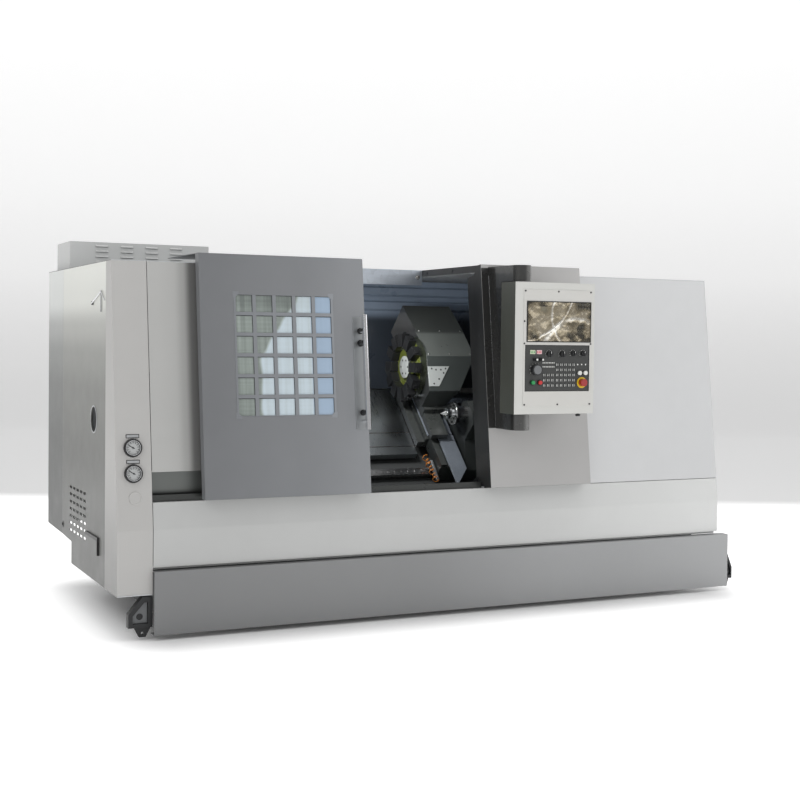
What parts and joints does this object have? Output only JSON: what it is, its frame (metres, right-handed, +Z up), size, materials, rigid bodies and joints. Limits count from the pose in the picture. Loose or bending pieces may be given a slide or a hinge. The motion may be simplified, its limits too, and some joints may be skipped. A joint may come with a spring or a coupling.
{
  "type": "cnc turning lathe",
  "caption": "Slant-bed CNC turning lathe in a sheet-metal enclosure, with sliding window door, tool turret, chuck spindle, tailstock and swivelling control pulpit.",
  "frame": {"origin": "on the floor, under the centre of the machine's bounding box", "axes": "+X along the spindle axis to the tailstock end, +Y to the back of the machine, +Z up"},
  "size_m": [3.5334, 1.901, 1.908],
  "materials": {
    "skirt_grey": "satin",
    "cast_dark": "satin",
    "bracket_black": "satin",
    "guide_steel": "ground",
    "cabinet_light": "fine texture",
    "door_grey": "satin",
    "chamber_dark": "satin",
    "stainless": "brushed",
    "vent_grey": "satin",
    "window_frame": "satin",
    "window_glass": "clear",
    "handle_chrome": "polished",
    "arm_grey": "satin",
    "pulpit_paint": "fine texture",
    "screen_black": "gloss",
    "key_panel_grey": "matte",
    "knob_black": "matte",
    "button_green": "gloss",
    "button_red": "gloss",
    "button_white": "gloss",
    "cover_steel": "brushed",
    "disc_film": "oily film on steel",
    "holder_black": "blackened steel"
  },
  "bodies": {
    "root": {"base_skirt": "skirt_grey", "bed_casting": "cast_dark", "levelling_feet": "cast_dark", "foot_brackets": "bracket_black", "linear_guides": "guide_steel", "front_column": "cabinet_light", "rear_wall": "cabinet_light", "lower_front_panel": "cabinet_light", "left_front_panel": "cabinet_light", "right_front_panel": "cabinet_light", "right_side_wall": "cabinet_light", "roof_sheet": "cabinet_light", "chamber_left_wall": "chamber_dark", "chamber_right_wall": "chamber_dark", "chamber_rear_wall": "chamber_dark", "chip_chute": "chamber_dark", "door_track": "stainless", "top_rail": "stainless", "vent_box": "vent_grey", "control_box": "door_grey", "pulpit_arm": "arm_grey", "headstock": "cast_dark", "way_cover_inner": "cover_steel"},
    "door": {"sliding_door": "door_grey", "window_grid": "window_frame", "window_glass": "window_glass", "door_handle": "handle_chrome"},
    "service": {"service_door": "cabinet_light", "service_handle": "bracket_black"},
    "pulpit": {"pulpit_box": "pulpit_paint", "screen_unit": "screen_black", "key_panel": "key_panel_grey"},
    "spindle_unit": {"spindle": "guide_steel", "chuck_body": "guide_steel"},
    "jaw_a": {"jaw_1": "guide_steel"},
    "jaw_b": {"jaw_2": "guide_steel"},
    "jaw_c": {"jaw_3": "guide_steel"},
    "saddle_unit": {"saddle": "cast_dark", "cross_way_cover": "cover_steel", "way_cover_outer": "cover_steel"},
    "cover_middle": {"way_cover_middle": "cover_steel"},
    "cross": {"cross_slide": "cast_dark", "turret_housing": "cast_dark"},
    "turret": {"turret_disc": "disc_film", "tool_holders": "holder_black"},
    "tailstock": {"tailstock_body": "cast_dark"},
    "quill_unit": {"quill": "guide_steel"},
    "centre": {"live_centre": "guide_steel"},
    "mode_switch_knob": {"mode_switch": "knob_black"},
    "feed_switch_knob": {"feed_switch": "knob_black"},
    "rapid_switch_knob": {"rapid_switch": "knob_black"},
    "speed_switch_knob": {"speed_switch": "knob_black"},
    "program_lock_knob": {"program_lock": "knob_black"},
    "drive_switch_knob": {"drive_switch": "knob_black"},
    "handwheel_knob": {"handwheel": "knob_black"},
    "power_on_button_knob": {"power_on_button": "button_green"},
    "power_off_button_knob": {"power_off_button": "button_red"},
    "cycle_start_button_knob": {"cycle_start_button": "button_white"},
    "feed_hold_button_knob": {"feed_hold_button": "button_white"},
    "emergency_stop_knob": {"emergency_stop": "button_red"}
  },
  "joints": [
    {"name": "door_slide", "type": "slide", "parent": "root", "child": "door", "axis": [1, 0, 0], "range_m": [0, 0.668]},
    {"name": "service_door_hinge", "type": "hinge", "parent": "root", "child": "service", "pos_m": [-1.75675, 0.5465, 0.925], "axis": [0, 0, -1], "range_deg": [0, 100]},
    {"name": "pulpit_swivel", "type": "hinge", "parent": "root", "child": "pulpit", "pos_m": [0.24525, -0.8495, 1.325], "axis": [0, 0, -1], "range_deg": [0, 75]},
    {"name": "spindle_spin", "type": "hinge", "parent": "root", "child": "spindle_unit", "pos_m": [-0.94975, -0.1915, 0.993], "axis": [1, 0, 0], "continuous": true},
    {"name": "jaw_a_slide", "type": "slide", "parent": "spindle_unit", "child": "jaw_a", "axis": [0, 0, 1], "range_m": [-0.004, 0.004]},
    {"name": "jaw_b_slide", "type": "slide", "parent": "spindle_unit", "child": "jaw_b", "axis": [0, -0.866, -0.5], "range_m": [-0.004, 0.004]},
    {"name": "jaw_c_slide", "type": "slide", "parent": "spindle_unit", "child": "jaw_c", "axis": [0, 0.866, -0.5], "range_m": [-0.004, 0.004]},
    {"name": "saddle_slide", "type": "slide", "parent": "root", "child": "saddle_unit", "axis": [1, 0, 0], "range_m": [-0.64, 0.008]},
    {"name": "cover_slide", "type": "slide", "parent": "root", "child": "cover_middle", "axis": [1, 0, 0], "range_m": [-0.32, 0.004]},
    {"name": "cross_slide_feed", "type": "slide", "parent": "saddle_unit", "child": "cross", "axis": [0, 0.7071, 0.7071], "range_m": [-0.045, 0.1]},
    {"name": "turret_index", "type": "hinge", "parent": "cross", "child": "turret", "pos_m": [-0.00975, 0.05811, 1.24261], "axis": [1, 0, 0], "continuous": true},
    {"name": "tailstock_slide", "type": "slide", "parent": "root", "child": "tailstock", "axis": [1, 0, 0], "range_m": [-0.008, 0.08]},
    {"name": "quill_slide", "type": "slide", "parent": "tailstock", "child": "quill_unit", "axis": [1, 0, 0], "range_m": [-0.09, 0.05]},
    {"name": "centre_spin", "type": "hinge", "parent": "quill_unit", "child": "centre", "pos_m": [0.17025, -0.1915, 0.993], "axis": [1, 0, 0], "continuous": true},
    {"name": "mode_switch_turn", "type": "hinge", "parent": "pulpit", "child": "mode_switch_knob", "pos_m": [0.36825, -0.9245, 1.332], "axis": [0, 1, 0], "range_deg": [-90, 90]},
    {"name": "feed_switch_turn", "type": "hinge", "parent": "pulpit", "child": "feed_switch_knob", "pos_m": [0.44625, -0.9245, 1.332], "axis": [0, 1, 0], "range_deg": [-135, 135]},
    {"name": "rapid_switch_turn", "type": "hinge", "parent": "pulpit", "child": "rapid_switch_knob", "pos_m": [0.51025, -0.9245, 1.335], "axis": [0, 1, 0], "range_deg": [-60, 60]},
    {"name": "speed_switch_turn", "type": "hinge", "parent": "pulpit", "child": "speed_switch_knob", "pos_m": [0.56925, -0.9245, 1.335], "axis": [0, 1, 0], "range_deg": [-135, 135]},
    {"name": "program_lock_turn", "type": "hinge", "parent": "pulpit", "child": "program_lock_knob", "pos_m": [0.28425, -0.9245, 1.303], "axis": [0, 1, 0], "range_deg": [0, 90]},
    {"name": "drive_switch_turn", "type": "hinge", "parent": "pulpit", "child": "drive_switch_knob", "pos_m": [0.31825, -0.9245, 1.303], "axis": [0, 1, 0], "range_deg": [0, 60]},
    {"name": "handwheel_turn", "type": "hinge", "parent": "pulpit", "child": "handwheel_knob", "pos_m": [0.29025, -0.9245, 1.252], "axis": [0, 1, 0], "continuous": true},
    {"name": "power_on_button_press", "type": "slide", "parent": "pulpit", "child": "power_on_button_knob", "axis": [0, 1, 0], "range_m": [0, 0.003], "stiffness_N_per_m": 300},
    {"name": "power_off_button_press", "type": "slide", "parent": "pulpit", "child": "power_off_button_knob", "axis": [0, 1, 0], "range_m": [0, 0.003], "stiffness_N_per_m": 300},
    {"name": "cycle_start_button_press", "type": "slide", "parent": "pulpit", "child": "cycle_start_button_knob", "axis": [0, 1, 0], "range_m": [0, 0.003], "stiffness_N_per_m": 300},
    {"name": "feed_hold_button_press", "type": "slide", "parent": "pulpit", "child": "feed_hold_button_knob", "axis": [0, 1, 0], "range_m": [0, 0.003], "stiffness_N_per_m": 300},
    {"name": "emergency_stop_press", "type": "slide", "parent": "pulpit", "child": "emergency_stop_knob", "axis": [0, 1, 0], "range_m": [0, 0.003], "stiffness_N_per_m": 500}
  ],
  "couplings": [
    {"joint": "jaw_b_slide", "follows": "jaw_a_slide", "ratio": 1},
    {"joint": "jaw_c_slide", "follows": "jaw_a_slide", "ratio": 1},
    {"joint": "cover_slide", "follows": "saddle_slide", "ratio": 0.5}
  ]
}
